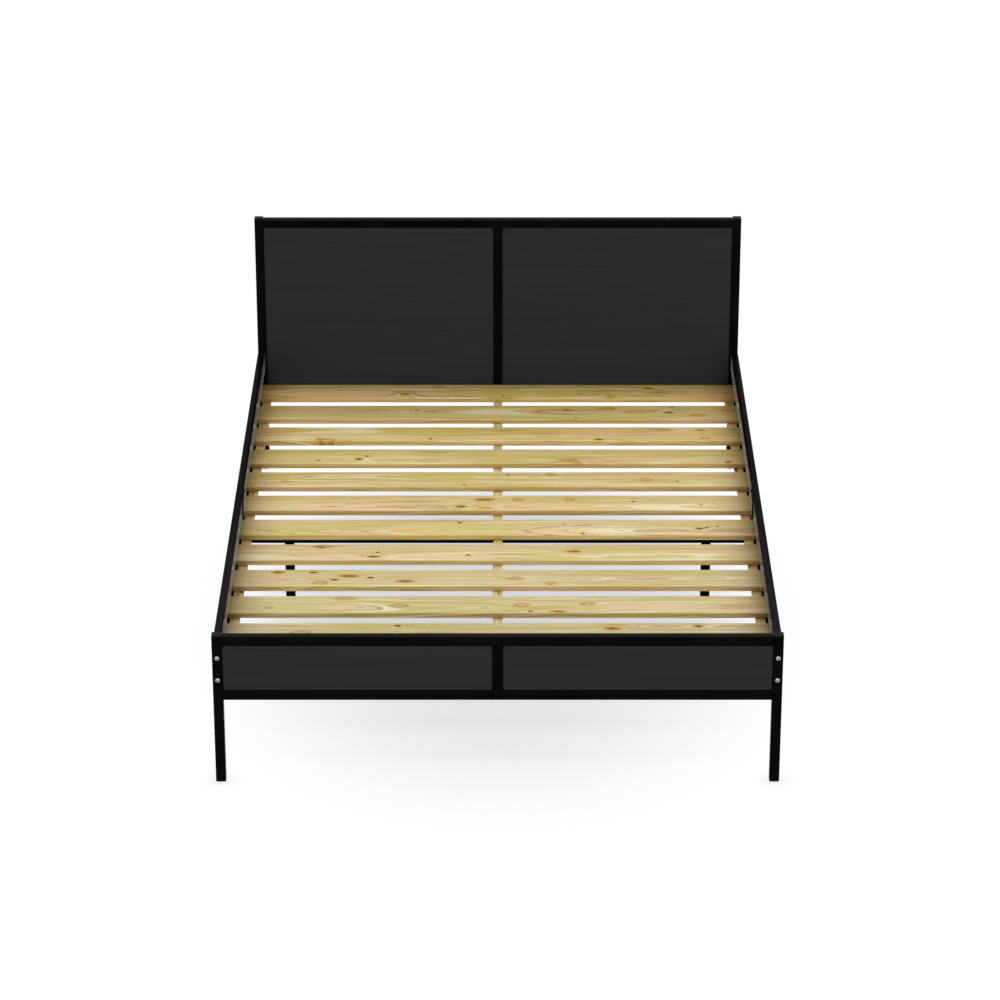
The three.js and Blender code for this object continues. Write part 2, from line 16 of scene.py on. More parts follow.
import bpy
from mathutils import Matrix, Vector


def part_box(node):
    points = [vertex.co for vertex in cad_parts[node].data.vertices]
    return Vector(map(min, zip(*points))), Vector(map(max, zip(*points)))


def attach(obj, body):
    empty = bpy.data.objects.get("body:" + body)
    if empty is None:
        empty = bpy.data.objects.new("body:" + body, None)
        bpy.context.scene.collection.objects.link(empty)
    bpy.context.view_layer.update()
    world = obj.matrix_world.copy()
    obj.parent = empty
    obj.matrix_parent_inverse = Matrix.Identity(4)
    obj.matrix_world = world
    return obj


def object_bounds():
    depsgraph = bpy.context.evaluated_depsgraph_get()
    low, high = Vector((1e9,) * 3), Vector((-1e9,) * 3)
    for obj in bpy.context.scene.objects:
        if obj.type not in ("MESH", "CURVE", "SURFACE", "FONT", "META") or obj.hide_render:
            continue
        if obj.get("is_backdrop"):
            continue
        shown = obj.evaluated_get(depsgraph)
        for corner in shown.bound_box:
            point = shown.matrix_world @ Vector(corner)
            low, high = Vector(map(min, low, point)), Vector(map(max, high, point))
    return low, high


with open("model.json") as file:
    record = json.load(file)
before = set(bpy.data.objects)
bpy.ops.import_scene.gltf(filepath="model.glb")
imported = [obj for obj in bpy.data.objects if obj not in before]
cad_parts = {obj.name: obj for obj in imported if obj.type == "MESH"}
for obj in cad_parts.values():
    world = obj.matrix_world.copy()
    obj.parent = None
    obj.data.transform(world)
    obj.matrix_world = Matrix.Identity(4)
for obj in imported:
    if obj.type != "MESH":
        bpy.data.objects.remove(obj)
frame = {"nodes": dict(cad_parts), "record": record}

nodes = frame["nodes"]
cad_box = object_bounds()
low, high = cad_box
print("pieces:", len(nodes))
print("bed, in metres:", [round(side, 4) for side in high - low])

# %% [markdown]
# ## A camera that stands where a visitor would step back to
#
# A bed is seen from its foot end, from above the height of the mattress. A wide lens close by
# would spread the near posts apart, and an orthographic camera would lose the depth. A long
# lens from about nine metres keeps the tubes straight and still lets the rails run together
# towards the headboard. The aim is a point on the deck a little footward of the middle.
#
# Cameras, lamps and new pieces are all added and aimed in the same way, so two small helpers
# come first.

# %% Camera
CAMERA_PLACE = Vector((0.0047, -9.165, 4.450))
CAMERA_AIM = Vector((0.0060, -0.163, 0.4035))
LENS_MM = 134.5


def add_object(name, data):
    """Puts a mesh, a lamp or a camera into the scene."""
    made = bpy.data.objects.new(name, data)
    bpy.context.scene.collection.objects.link(made)
    return made


def stand_and_aim(made, place, aim):
    made.location = place
    made.rotation_euler = (aim - place).to_track_quat("-Z", "Y").to_euler()


camera = add_object("camera", bpy.data.cameras.new("camera"))
camera.data.lens = LENS_MM
stand_and_aim(camera, CAMERA_PLACE, CAMERA_AIM)
bpy.context.scene.camera = camera
drop = CAMERA_PLACE - CAMERA_AIM
print("camera looks down by", round(math.degrees(math.atan2(drop.z, -drop.y)), 1), "degrees")

# %% [markdown]
# ## Small helpers for node trees
#
# A material in Blender is a graph. Written out call by call it gets long, so a few helpers are
# worth their place. The first adds a node and fills its sockets, where a value may be a number
# or the output of another node. The others are the sums, blends and noises that every finish
# here is made of. A noise lies between 0 and 1, and most of it near the middle. Its scale is the
# number of waves in a metre.

# %% Node helpers
def add_node(tree, kind, inputs=None, **settings):
    made = tree.nodes.new(kind)
    for name, value in settings.items():
        setattr(made, name, value)
    for socket, value in (inputs or {}).items():
        if isinstance(value, bpy.types.NodeSocket):
            tree.links.new(value, made.inputs[socket])
        else:
            made.inputs[socket].default_value = value
    return made


def calc(tree, operation, *values):
    inputs = dict(enumerate(values))
    return add_node(tree, "ShaderNodeMath", inputs, operation=operation).outputs[0]


def vector_calc(tree, operation, first, second):
    inputs = {0: first, 1: second}
    return add_node(tree, "ShaderNodeVectorMath", inputs, operation=operation).outputs[0]


def vector_length(tree, vector):
    made = add_node(tree, "ShaderNodeVectorMath", {0: vector}, operation="LENGTH")
    return made.outputs["Value"]


def split(tree, vector):
    """The parts of a vector, by the names X, Y and Z."""
    return add_node(tree, "ShaderNodeSeparateXYZ", {0: vector}).outputs


def ramp(tree, value, start, end):
    """Rises smoothly from 0 at start to 1 at end."""
    inputs = {0: value, 1: start, 2: end}
    made = add_node(tree, "ShaderNodeMapRange", inputs, interpolation_type="SMOOTHSTEP")
    return made.outputs[0]


def fall(tree, value, start, end):
    """Falls smoothly from 1 at start to 0 at end."""
    return calc(tree, "SUBTRACT", 1.0, ramp(tree, value, start, end))


def between(tree, share, least, most):
    """Least where share is 0, most where it is 1."""
    return calc(tree, "MULTIPLY_ADD", share, most - least, least)


def blend(tree, share, first, second, kind="MIX"):
    """A mix of two colours. The Mix node keeps its colour sockets at places 6, 7 and 2."""
    inputs = {0: share, 6: first, 7: second}
    made = add_node(tree, "ShaderNodeMix", inputs, data_type="RGBA", blend_type=kind)
    return made.outputs[2]


def stretched(tree, place, scales):
    """The same place with each axis scaled, for patterns that are longer one way."""
    return add_node(tree, "ShaderNodeMapping", {"Vector": place, "Scale": scales}).outputs[0]


def noise(tree, place, scale, detail=2.0, roughness=0.5):
    inputs = {"Vector": place, "Scale": scale, "Detail": detail, "Roughness": roughness}
    return add_node(tree, "ShaderNodeTexNoise", inputs).outputs["Fac"]


def long_noise(tree, place, waves, detail=2.0, roughness=0.5):
    """A noise that has its own number of waves in a metre along each axis."""
    return noise(tree, stretched(tree, place, waves), 1.0, detail, roughness)


def open_sky(tree, reach, **settings):
    """How much of the sky a spot sees past what stands closer than reach, in metres."""
    inputs = {"Distance": reach}
    return add_node(tree, "ShaderNodeAmbientOcclusion", inputs, **settings).outputs["AO"]


def grey(level):
    return (level, level, level, 1.0)


print("helpers are ready")

# %% [markdown]
# ## What every finish starts and ends with
#
# Each finish starts as an empty material with one shader, and knows where a point lies on the
# bed, in metres. Each ends in the same three wires: a colour, a roughness and a bump. What is
# the same all over a surface, such as the strength of its shine, is set on the shader itself.

# %% A finish
def empty_material(name):
    material = bpy.data.materials.new(name)
    material.use_nodes = True
    material.node_tree.nodes.clear()
    return material, material.node_tree


def start_finish(name, shine):
    material, tree = empty_material(name)
    shader = add_node(tree, "ShaderNodeBsdfPrincipled", {"Specular IOR Level": shine})
    add_node(tree, "ShaderNodeOutputMaterial", {"Surface": shader.outputs[0]})
    place = add_node(tree, "ShaderNodeTexCoord").outputs["Object"]
    return material, tree, shader, place


def wire_finish(tree, shader, colour, roughness, height, depth):
    """The bump is as deep as depth, in metres, where height goes from 0 to 1."""
    inputs = {"Height": height, "Distance": depth, "Strength": 1.0}
    bump = add_node(tree, "ShaderNodeBump", inputs).outputs[0]
    for socket, value in (("Base Color", colour), ("Roughness", roughness), ("Normal", bump)):
        tree.links.new(value, shader.inputs[socket])


print("a finish has three wires: colour, roughness and bump")

# %% [markdown]
# ## Round tube that is made of flats
#
# The frame's meshes are exact flats: a tube corner is three narrow facets. Left as they are,
# each facet catches the light by itself. Adding more facets would also work, but shading is
# cheaper: neighbouring facets that meet at a shallow angle share one smooth shading, and real
# edges stay sharp. The facets come in as separate triangles, so they are joined at their corners
# first. A modifier does this, and the meshes below it stay as they are.

# %% Smooth shading across shallow edges
SMOOTH_BELOW = math.radians(35)
JOIN_WITHIN = 2e-6


def make_softener():
    group = bpy.data.node_groups.new("soften", "GeometryNodeTree")
    for way in ("INPUT", "OUTPUT"):
        group.interface.new_socket("Geometry", in_out=way, socket_type="NodeSocketGeometry")
    facets = add_node(group, "NodeGroupInput").outputs[0]
    inputs = {"Geometry": facets, "Distance": JOIN_WITHIN}
    joined = add_node(group, "GeometryNodeMergeByDistance", inputs).outputs[0]
    inputs = {"Geometry": joined, "Name": "custom_normal"}
    plain = add_node(group, "GeometryNodeRemoveAttribute", inputs).outputs[0]
    inputs = {0: plain, 2: True}
    smooth = add_node(group, "GeometryNodeSetShadeSmooth", inputs, domain="FACE").outputs[0]
    angle = add_node(group, "GeometryNodeInputMeshEdgeAngle").outputs[0]
    steep = calc(group, "GREATER_THAN", angle, SMOOTH_BELOW)
    inputs = {0: smooth, 1: steep, 2: False}
    sharp = add_node(group, "GeometryNodeSetShadeSmooth", inputs, domain="EDGE").outputs[0]
    add_node(group, "NodeGroupOutput", {0: sharp})
    return group


softener = make_softener()


def soften(piece):
    piece.modifiers.new("soften", "NODES").node_group = softener


for piece in nodes.values():
    soften(piece)
print("softened", len(nodes), "pieces")

# %% [markdown]
# ## Black powder coat
#
# The steel is sprayed with dry powder and baked, which leaves a hard satin skin with the faint
# dimples that painters call orange peel. Seen from the front it is almost pure black. A low
# specular level keeps it so, because a strong one would lay a grey veil of reflected studio over
# it. The dimples are a bump of two sizes, and the roughness wanders a little, as a baked coat
# does.
#
# The inner faces of the side rails are seen almost edge-on, and there a haze of fine powder
# catches the light and turns them grey. A little sheen does this, so the rails get a coat of
# their own.

# %% Powder coat
COAT_DARK = grey(0.0024)
COAT_PALE = grey(0.0040)
FRAME_SHINE, FRAME_HAZE = 0.006, 0.0
RAIL_SHINE, RAIL_HAZE = 0.0045, 0.205
HAZE_ROUGHNESS = 0.15
COAT_ROUGHNESS = (0.10, 0.18)
CLOUD_EDGES = (0.3, 0.7)
CLOUD_WAVES, PATCH_WAVES = 9.0, 60.0
PEEL_WAVES, FINE_PEEL_WAVES = 420.0, 1900.0
FINE_PEEL_HEIGHT = 0.3
PEEL_DEPTH = 0.00002


def make_powder_coat(name, shine, haze):
    material, tree, shader, place = start_finish(name, shine)
    shader.inputs["Sheen Weight"].default_value = haze
    shader.inputs["Sheen Roughness"].default_value = HAZE_ROUGHNESS
    clouds = noise(tree, place, CLOUD_WAVES, detail=3.0)
    colour = blend(tree, ramp(tree, clouds, *CLOUD_EDGES), COAT_DARK, COAT_PALE)
    patches = noise(tree, place, PATCH_WAVES, detail=4.0)
    rough = between(tree, patches, *COAT_ROUGHNESS)
    peel = noise(tree, place, PEEL_WAVES)
    fine_peel = noise(tree, place, FINE_PEEL_WAVES, detail=1.0)
    height = calc(tree, "MULTIPLY_ADD", fine_peel, FINE_PEEL_HEIGHT, peel)
    wire_finish(tree, shader, colour, rough, height, PEEL_DEPTH)
    return material


powder_coat = make_powder_coat("black_powder_coat", FRAME_SHINE, FRAME_HAZE)
rail_coat = make_powder_coat("rail_powder_coat", RAIL_SHINE, RAIL_HAZE)
print("made", powder_coat.name, "and", rail_coat.name)

# %% [markdown]
# ## Dark board
#
# The four panels are wood board with a dark stain, so dark that the grain is more felt than
# seen: long level streaks a shade lighter or darker than the rest, and shallow pores. Streaks
# and pores are noises squeezed in height and stretched along the board. A slow noise lifts and
# lowers them along their way, so that they do not look ruled.

# %% Board
BOARD_DARK = (0.0232, 0.0236, 0.0244, 1.0)
BOARD_PALE = (0.0270, 0.0275, 0.0284, 1.0)
BOARD_PORES, PORE_SHARE = grey(0.020), 0.20
BOARD_SHINE, BOARD_ROUGHNESS = 0.03, (0.42, 0.62)
BEND_WAVES, BEND_HEIGHT = (1.3, 1.0, 3.0), 0.05
STREAK_WAVES, STREAK_EDGES = (2.2, 20.0, 95.0), (0.25, 0.75)
PORE_WAVES, PORE_EDGES = (16.0, 300.0, 900.0), (0.56, 0.72)
PORE_HEIGHT = -0.5
BOARD_DEPTH = 0.00012


def make_board(name):
    material, tree, shader, place = start_finish(name, BOARD_SHINE)
    lift = calc(tree, "MULTIPLY", long_noise(tree, place, BEND_WAVES), BEND_HEIGHT)
    lift = add_node(tree, "ShaderNodeCombineXYZ", {"Z": lift}).outputs[0]
    bent = vector_calc(tree, "ADD", place, lift)
    streaks = long_noise(tree, bent, STREAK_WAVES, detail=5.0, roughness=0.62)
    pores = long_noise(tree, bent, PORE_WAVES)
    colour = blend(tree, ramp(tree, streaks, *STREAK_EDGES), BOARD_DARK, BOARD_PALE)
    pore_share = calc(tree, "MULTIPLY", ramp(tree, pores, *PORE_EDGES), PORE_SHARE)
    colour = blend(tree, pore_share, colour, BOARD_PORES)
    rough = between(tree, streaks, *BOARD_ROUGHNESS)
    height = calc(tree, "MULTIPLY_ADD", pores, PORE_HEIGHT, streaks)
    wire_finish(tree, shader, colour, rough, height, BOARD_DEPTH)
    return material


board = make_board("dark_board_grain")
print("made", board.name)

# %% [markdown]
# ## Black plastic
#
# Caps and glides are moulded in dull black plastic, and the mould leaves a fine, even grain on
# it. One fine noise gives all three: the grain's tops are a little lighter, rougher and higher
# than its pits.

# %% Plastic
PLASTIC_DARK, PLASTIC_PALE = grey(0.0030), grey(0.0060)
PLASTIC_SHINE, PLASTIC_ROUGHNESS = 0.03, (0.42, 0.62)
GRAIN_WAVES, GRAIN_EDGES = 1500.0, (0.3, 0.7)
GRAIN_DEPTH = 0.00008


def make_plastic(name):
    material, tree, shader, place = start_finish(name, PLASTIC_SHINE)
    grain = noise(tree, place, GRAIN_WAVES, detail=3.0)
    colour = blend(tree, ramp(tree, grain, *GRAIN_EDGES), PLASTIC_DARK, PLASTIC_PALE)
    rough = between(tree, grain, *PLASTIC_ROUGHNESS)
    wire_finish(tree, shader, colour, rough, grain, GRAIN_DEPTH)
    return material


plastic = make_plastic("black_plastic_grain")
print("made", plastic.name)

# %% [markdown]
# ## Zinc
#
# The bolts are plated with zinc: a soft, slightly blue metal that handling has dulled in
# patches, so its roughness is uneven. Their sockets get painted shade: the metal is darkened
# where little sky reaches it.

# %% Zinc plate
ZINC_DARK = (0.26, 0.26, 0.27, 1.0)
ZINC_PALE = (0.40, 0.40, 0.41, 1.0)
ZINC_SHINE, ZINC_ROUGHNESS = 0.5, (0.38, 0.63)
SOCKET_PAINTED_SHADE, SOCKET_SHADE_EDGES = grey(0.03), (0.35, 0.90)
SOCKET_REACH = 0.003
HANDLED_WAVES, PLATE_WAVES = 260.0, 1200.0
PLATE_DEPTH = 0.00004


def make_zinc(name):
    material, tree, shader, place = start_finish(name, ZINC_SHINE)
    shader.inputs["Metallic"].default_value = 1.0
    patches = noise(tree, place, HANDLED_WAVES, detail=4.0)
    colour = blend(tree, patches, ZINC_DARK, ZINC_PALE)
    # Painted shade: the colour turns dark inside the sockets, where little sky reaches close by.
    unshaded_socket = ramp(tree, open_sky(tree, SOCKET_REACH), *SOCKET_SHADE_EDGES)
    colour = blend(tree, unshaded_socket, SOCKET_PAINTED_SHADE, colour)
    rough = between(tree, patches, *ZINC_ROUGHNESS)
    wire_finish(tree, shader, colour, rough, noise(tree, place, PLATE_WAVES), PLATE_DEPTH)
    return material


zinc = make_zinc("zinc_plate")
print("made", zinc.name)

# %% [markdown]
# ## Pine, from the tree outwards
#
# A board is a slice of a trunk, so its figure follows from a few facts: growth rings are nearly
# round shells about a pith, the trunk tapers, and branches push the rings aside where they grow
# out. A picture of wood would repeat from slat to slat. Here each slat gets its own pith and its
# own branches, and the rings are worked out at every point in space, so faces, long edges and
# end grain all agree.
#
# One knot is a small group of nodes that the boards share: given a place, it says how far the
# rings are pushed there, how dark the branch wood is, where the thin rim of old bark runs round
# it, and how far the resin around it reaches. A branch that is sawn along its length shows as a
# spindle with two pointed ends, so the dark wood is measured with that shape, while the push on
# the rings stays round. All of it is measured in the knot's own half length and half width.

# %% A knot
PUSH_REACH, PUSH_FALL = 3.2, -2.5
CORE_EDGES = (0.50, 1.10)
RIM_INNER_EDGES, RIM_OUTER_EDGES = (0.60, 0.85), (0.85, 1.10)
HALO_EDGES = (0.7, 2.0)


def make_knot_group():
    """Inputs: place and centre in metres, half length along the board, half width across it."""
    group = bpy.data.node_groups.new("knot", "ShaderNodeTree")
    for name in ("Place", "Centre", "Size"):
        group.interface.new_socket(name, in_out="INPUT", socket_type="NodeSocketVector")
    group.interface.new_socket("Ragged", in_out="INPUT", socket_type="NodeSocketFloat")
    for name in ("Push", "Core", "Rim", "Halo"):
        group.interface.new_socket(name, in_out="OUTPUT", socket_type="NodeSocketFloat")
    start = add_node(group, "NodeGroupInput").outputs
    offset = vector_calc(group, "SUBTRACT", start["Place"], start["Centre"])
    scaled = vector_calc(group, "DIVIDE", offset, start["Size"])
    spread = calc(group, "DIVIDE", vector_length(group, scaled), PUSH_REACH)
    spread = calc(group, "MULTIPLY", calc(group, "POWER", spread, 2.0), PUSH_FALL)
    push = calc(group, "EXPONENT", spread)
    parts = split(group, scaled)
    across = calc(group, "ABSOLUTE", parts["Y"])
    spindle = calc(group, "MULTIPLY_ADD", parts["X"], parts["X"], across)
    ragged = calc(group, "ADD", calc(group, "SQRT", spindle), start["Ragged"])
    core = fall(group, ragged, *CORE_EDGES)
    inner = ramp(group, ragged, *RIM_INNER_EDGES)
    rim = calc(group, "MULTIPLY", inner, fall(group, ragged, *RIM_OUTER_EDGES))
    halo = fall(group, ragged, *HALO_EDGES)
    add_node(group, "NodeGroupOutput", {"Push": push, "Core": core, "Rim": rim, "Halo": halo})
    return group


knot_group = make_knot_group()
print("one knot takes", len(knot_group.nodes), "nodes")

# %% [markdown]
# ## The branches of one board
#
# Knots come in four kinds: pins of thin twigs, brown spindles, long slices of a branch, and
# pale eyes with a dark rim, where the trunk grew round a dead branch and its bark. Each board
# draws how many it has, of which kinds and where, from numbers that start at its own seed. Its
# knots are then chained: the pushes on the rings add up, and of the rest the darkest counts.

# %% Branches
KNOT_COUNT = (5, 9)
KNOT_KINDS = (
    # half length, half width, darkness of the heart, darkness of the rim
    ((0.0050, 0.0100), (0.0035, 0.0055), 1.00, 0.50),
    ((0.0120, 0.0230), (0.0045, 0.0080), 0.92, 0.35),
    ((0.0200, 0.0360), (0.0080, 0.0130), 0.70, 0.20),
    ((0.0140, 0.0320), (0.0070, 0.0120), 0.20, 0.85),
)
KNOT_SHARES = (4, 3, 1, 3)
KNOTS_ALONG, KNOTS_ACROSS = (-0.47, 0.47), (-0.46, 0.38)
KNOT_PUSH = 0.6
RAGGED_WAVES, RAGGED_BY = (90.0, 260.0, 260.0), (-0.45, 0.45)


def pick_knots(draw, length, width):
    """Each knot's centre on the board, its size, and how dark its heart and its bark are."""
    knots = []
    for _ in range(draw.randint(*KNOT_COUNT)):
        lengths, widths, heart, bark = draw.choices(KNOT_KINDS, KNOT_SHARES)[0]
        along = draw.uniform(*KNOTS_ALONG) * length
        across = draw.uniform(*KNOTS_ACROSS) * width
        size = (draw.uniform(*lengths), draw.uniform(*widths), 1.0)
        knots.append(((along, across, 0.0), size, heart, bark))
    return knots


def add_knots(tree, own, shifted, knots):
    """Returns the summed push on the rings, then the darkest core, rim and halo."""
    edge = long_noise(tree, shifted, RAGGED_WAVES, detail=3.0)
    ragged = between(tree, edge, *RAGGED_BY)
    push, core, rim, halo = 0.0, 0.0, 0.0, 0.0
    for centre, size, heart, bark in knots:
        inputs = {"Place": own, "Centre": centre, "Size": size, "Ragged": ragged}
        knot = add_node(tree, "ShaderNodeGroup", inputs, node_tree=knot_group).outputs
        push = calc(tree, "MULTIPLY_ADD", knot["Push"], size[1] * KNOT_PUSH, push)
        core = calc(tree, "MAXIMUM", calc(tree, "MULTIPLY", knot["Core"], heart), core)
        rim = calc(tree, "MAXIMUM", calc(tree, "MULTIPLY", knot["Rim"], bark), rim)
        halo = calc(tree, "MAXIMUM", knot["Halo"], halo)
    return push, core, rim, halo


print("kinds of knot:", len(KNOT_KINDS))

# %% [markdown]
# ## The growth rings of one board
#
# The board's own axes come first: along it, across it and through it. The pith lies a few
# centimetres under or beside the board and drifts, which turns straight lines into the long
# pointed arches of a flat-sawn face, and a quick small tremor keeps the lines a little
# unsteady. Where a point lies in its ring follows from its distance to the pith. Early wood is
# pale. Late wood, which ends each ring, is dark and stops sharply. Good and bad years make the
# rings wider and narrower and their late wood stronger and weaker. They are noises that run
# along the board but are read at the ring's radius, so they bend with the rings.

# %% Growth rings
RING_WIDTH = 0.0055
PITH_ASIDE, PITH_BELOW = (-0.045, 0.045), (0.020, 0.075)
PITH_TILT = (-0.030, 0.030)
DRIFT, DRIFT_STRETCH, DRIFT_WAVES = (0.0, 0.042, 0.028), (1.0, 0.35, 0.35), 1.6
TREMOR, TREMOR_STRETCH, TREMOR_WAVES = (0.0, 0.0055, 0.0055), (1.0, 6.0, 6.0), 9.0
WIDE_YEAR_WAVES, WIDE_YEAR_EDGES, WIDE_YEAR_SHIFT = (0.0, 55.0), (0.0, 1.0), 3.0
STRONG_YEAR_WAVES, STRONG_YEAR_EDGES = (1.5, 30.0), (0.30, 0.80)
LATE_POWER, LATE_STOP, LATE_STRENGTH = 3.5, (0.93, 1.0), (0.1, 1.0)


def board_axes(tree, place, piece):
    """Place on the board from its middle: x along, y across. Also its middle, length and width."""
    corner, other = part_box(piece)
    centre = (corner + other) / 2
    size = other - corner
    lengthwise = size.y > size.x
    turn = math.pi / 2 if lengthwise else 0.0
    inputs = {"Vector": vector_calc(tree, "SUBTRACT", place, centre), "Rotation": (0.0, 0.0, turn)}
    own = add_node(tree, "ShaderNodeMapping", inputs).outputs[0]
    length, width = (size.y, size.x) if lengthwise else (size.x, size.y)
    return own, centre, length, width


def wandering(tree, shifted, stretch, waves):
    """Three noises at once, one for each axis."""
    inputs = {"Vector": stretched(tree, shifted, stretch), "Scale": waves}
    return add_node(tree, "ShaderNodeTexNoise", inputs).outputs["Color"]


def ring_radius(tree, own, shifted, push, draw):
    """Distance from a pith that wanders, with the knots' push added."""
    slow = wandering(tree, shifted, DRIFT_STRETCH, DRIFT_WAVES)
    slow = vector_calc(tree, "SUBTRACT", slow, (0.5, 0.5, 0.5))
    drift = vector_calc(tree, "MULTIPLY", slow, DRIFT)
    quick = wandering(tree, shifted, TREMOR_STRETCH, TREMOR_WAVES)
    tremor = vector_calc(tree, "MULTIPLY", quick, TREMOR)
    aside = draw.uniform(*PITH_ASIDE)
    below = draw.choice((-1, 1)) * draw.uniform(*PITH_BELOW)
    place = own
    for offset in ((0.0, aside, below), drift, tremor):
        place = vector_calc(tree, "ADD", place, offset)
    parts = split(tree, place)
    depth = calc(tree, "MULTIPLY_ADD", parts["X"], draw.uniform(*PITH_TILT), parts["Z"])
    across = calc(tree, "MULTIPLY", parts["Y"], parts["Y"])
    squares = calc(tree, "MULTIPLY_ADD", depth, depth, across)
    return calc(tree, "ADD", calc(tree, "SQRT", squares), push)


def year_noise(tree, along, radius, waves, offset, edges):
    """A noise along the board and across the rings, turned into 0 to 1 between its edges."""
    inputs = {
        "X": calc(tree, "MULTIPLY", along, waves[0]),
        "Y": calc(tree, "MULTIPLY", radius, waves[1]),
        "Z": offset,
    }
    place = add_node(tree, "ShaderNodeCombineXYZ", inputs).outputs[0]
    return ramp(tree, noise(tree, place, 1.0, detail=3.0), *edges)


def late_wood(tree, along, radius, shift):
    """Rises from 0 at the start of a ring to the late wood at its end."""
    wide = year_noise(tree, along, radius, WIDE_YEAR_WAVES, shift[0], WIDE_YEAR_EDGES)
    count = calc(tree, "DIVIDE", radius, RING_WIDTH)
    ring = calc(tree, "FRACT", calc(tree, "MULTIPLY_ADD", wide, WIDE_YEAR_SHIFT, count))
    rise = calc(tree, "POWER", ring, LATE_POWER)
    late = calc(tree, "MULTIPLY", rise, fall(tree, ring, *LATE_STOP))
    strong = year_noise(tree, along, radius, STRONG_YEAR_WAVES, shift[1], STRONG_YEAR_EDGES)
    return calc(tree, "MULTIPLY", late, between(tree, strong, *LATE_STRENGTH))


print("rings are", RING_WIDTH * 1000, "mm wide on average")

# %% [markdown]
# ## The colours of pine
#
# Early wood is pale straw and late wood amber. Some years grow greener, rosier or more golden
# than others, some are rich in resin, and these tones are laid over each other from broad to
# fine. Round a branch the wood is golden with resin, the branch itself is brown, and its heart
# is a dark red-brown. Each board has its own tone and warmth, because no two slats come from the
# same tree. On top of that the slats are painted darker and warmer towards the headboard: painted
# shade from the headboard that stands over them.

# %% Wood colours
EARLY_WOOD = (0.635, 0.500, 0.195, 1.0)
LATE_WOOD = (0.340, 0.215, 0.050, 1.0)
OLIVE_YEARS = (0.520, 0.440, 0.080, 1.0)
ROSY_YEARS = (0.705, 0.475, 0.260, 1.0)
PALE_YEARS = (0.770, 0.665, 0.395, 1.0)
GOLDEN_YEARS = (0.620, 0.370, 0.060, 1.0)
RESIN = (0.320, 0.205, 0.040, 1.0)
YEAR_TONES = (
    # tone, waves in a metre along the board and across the rings, edges of the noise, share
    (OLIVE_YEARS, (1.3, 100.0), (0.46, 0.58), 0.72),
    (ROSY_YEARS, (1.5, 90.0), (0.49, 0.60), 0.72),
    (PALE_YEARS, (2.2, 190.0), (0.54, 0.63), 0.90),
    (GOLDEN_YEARS, (2.4, 210.0), (0.58, 0.67), 0.70),
    (RESIN, (3.0, 300.0), (0.60, 0.67), 0.75),
    (LATE_WOOD, (3.5, 620.0), (0.58, 0.64), 0.55),
)
BRANCH_WOOD, WOOD_EDGES = (0.335, 0.156, 0.006, 1.0), (0.12, 0.50)
BRANCH_HEART, HEART_EDGES = (0.085, 0.027, 0.001, 1.0), (0.55, 0.90)
BRANCH_BARK = (0.240, 0.108, 0.005, 1.0)
HALO_POWER, HALO_SHARE = 1.6, 0.65
BOARD_LEVELS, BOARD_WARMTHS = (0.98, 1.06), (-0.03, 0.03)
HEAD_PAINTED_SHADE, HEAD_PAINTED_WARMTH = 0.07, 0.055
FARTHEST = 40.0


def year_colours(tree, along, radius, late, draw):
    colour = EARLY_WOOD
    for tone, waves, edges, share in YEAR_TONES:
        offset = draw.uniform(-FARTHEST, FARTHEST)
        shown = year_noise(tree, along, radius, waves, offset, edges)
        colour = blend(tree, calc(tree, "MULTIPLY", shown, share), colour, tone)
    return blend(tree, late, colour, LATE_WOOD)


def branch_colours(tree, colour, core, rim, halo):
    resin = calc(tree, "MULTIPLY", calc(tree, "POWER", halo, HALO_POWER), HALO_SHARE)
    colour = blend(tree, resin, colour, GOLDEN_YEARS)
    colour = blend(tree, rim, colour, BRANCH_BARK)
    colour = blend(tree, ramp(tree, core, *WOOD_EDGES), colour, BRANCH_WOOD)
    return blend(tree, ramp(tree, core, *HEART_EDGES), colour, BRANCH_HEART)


def board_tint(centre, draw):
    """The board's own random tone and warmth, and painted shade that darkens and warms it towards
    the headboard.
    """
    # Painted shade: the level falls and the warmth rises towards the headboard.
    towards_head = centre.y / high.y
    level = draw.uniform(*BOARD_LEVELS) - HEAD_PAINTED_SHADE * towards_head
    warmth = draw.uniform(*BOARD_WARMTHS) + HEAD_PAINTED_WARMTH * towards_head
    return (level * (1 + warmth), level, level * (1 - warmth), 1.0)


print("year tones:", len(YEAR_TONES))

# %% [markdown]
# ## Darker sides, and painted shade at the ends and in corners
#
# The faces of a board that do not look up or down, its sides and ends, are made darker and
# browner.
# Every board is painted darker and browner over the last hand's breadth at its ends, as painted
# shade from the rails and boards beside them. Last comes painted shade where boards meet rails and
# each other: it is found by how much of the sky a spot can see close by. The middle batten, which
# the light reaches from both sides, gets only a little of it.

# %% Darker sides and painted shade
SIDE_FACE_TINT, SIDE_EDGES = (0.97, 0.88, 0.78, 1.0), (0.3, 0.9)
# Painted shade at the ends of each board and in the corners where it meets rails and boards.
END_PAINTED_SHADE, END_SHADE_FADE = (0.84, 0.77, 0.71, 1.0), (0.03, 0.13)
CORNER_PAINTED_SHADE, CORNER_SHADE_EDGES = (0.62, 0.54, 0.42, 1.0), (0.35, 0.92)
CORNER_REACH = 0.10
CORNER_SHADE_ON_MIDDLE_BATTEN = 0.2


